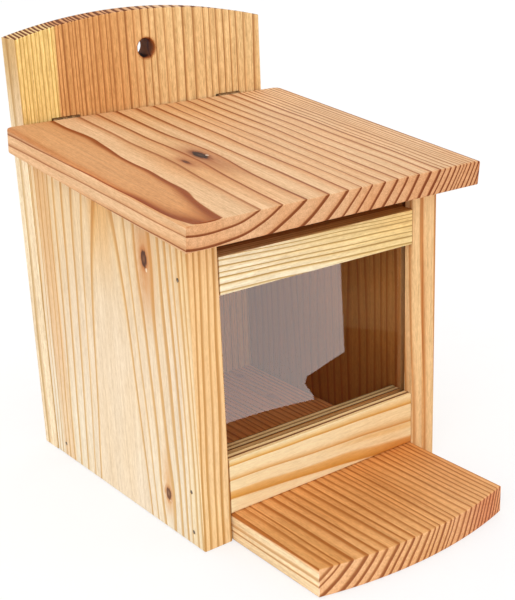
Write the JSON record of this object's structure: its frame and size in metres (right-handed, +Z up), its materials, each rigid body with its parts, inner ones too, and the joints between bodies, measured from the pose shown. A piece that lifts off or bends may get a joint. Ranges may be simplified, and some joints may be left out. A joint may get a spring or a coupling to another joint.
{
  "type": "squirrel feeder box",
  "caption": "Wooden squirrel feeder box with a hinged sloping lid, a clear front window, a landing platform and an arched back board with a hanging hole.",
  "frame": {"origin": "centre of the footprint on the ground plane, under the middle of the whole object", "axes": "+X to the right seen from the front, +Y to the back board, +Z up"},
  "size_m": [0.202, 0.2752, 0.2748],
  "materials": {
    "back_wood": "bare planed softwood with upright grain",
    "side_wood": "bare planed softwood with upright grain",
    "floor_wood": "bare planed softwood with fine dense grain",
    "rail_wood": "bare planed softwood with level grain",
    "roof_wood": "bare planed softwood, flat sawn",
    "hinge_steel": "dark bronzed",
    "nail_steel": "dull",
    "clear_plastic": "clear and glossy"
  },
  "bodies": {
    "box": {"back_board": "back_wood", "left_side_panel": "side_wood", "right_side_panel": "side_wood", "floor_board": "floor_wood", "lower_rail": "rail_wood", "upper_rail": "rail_wood", "window_pane": "clear_plastic", "left_hinge_board_leaf": "hinge_steel", "left_hinge_pin": "hinge_steel", "right_hinge_board_leaf": "hinge_steel", "right_hinge_pin": "hinge_steel", "left_hinge_board_screw_left": "hinge_steel", "left_hinge_board_screw_right": "hinge_steel", "right_hinge_board_screw_left": "hinge_steel", "right_hinge_board_screw_right": "hinge_steel", "left_nail_upper_rail": "nail_steel", "left_nail_lower_rail": "nail_steel", "left_nail_floor_front": "nail_steel", "left_nail_floor_rear": "nail_steel", "right_nail_upper_rail": "nail_steel", "right_nail_lower_rail": "nail_steel", "right_nail_floor_front": "nail_steel", "right_nail_floor_rear": "nail_steel", "back_screw_left_1": "nail_steel", "back_screw_left_2": "nail_steel", "back_screw_left_3": "nail_steel", "back_screw_right_1": "nail_steel", "back_screw_right_2": "nail_steel", "back_screw_right_3": "nail_steel", "back_screw_floor_left": "nail_steel", "back_screw_floor_right": "nail_steel"},
    "lid": {"roof_board": "roof_wood", "left_hinge_lid_leaf": "hinge_steel", "right_hinge_lid_leaf": "hinge_steel", "left_hinge_lid_screw_left": "hinge_steel", "left_hinge_lid_screw_right": "hinge_steel", "right_hinge_lid_screw_left": "hinge_steel", "right_hinge_lid_screw_right": "hinge_steel"}
  },
  "joints": [
    {"name": "lid_hinge", "type": "hinge", "parent": "box", "child": "lid", "pos_m": [0, 0.119, 0.21445], "axis": [-1, 0, 0], "range_deg": [0, 95]}
  ]
}
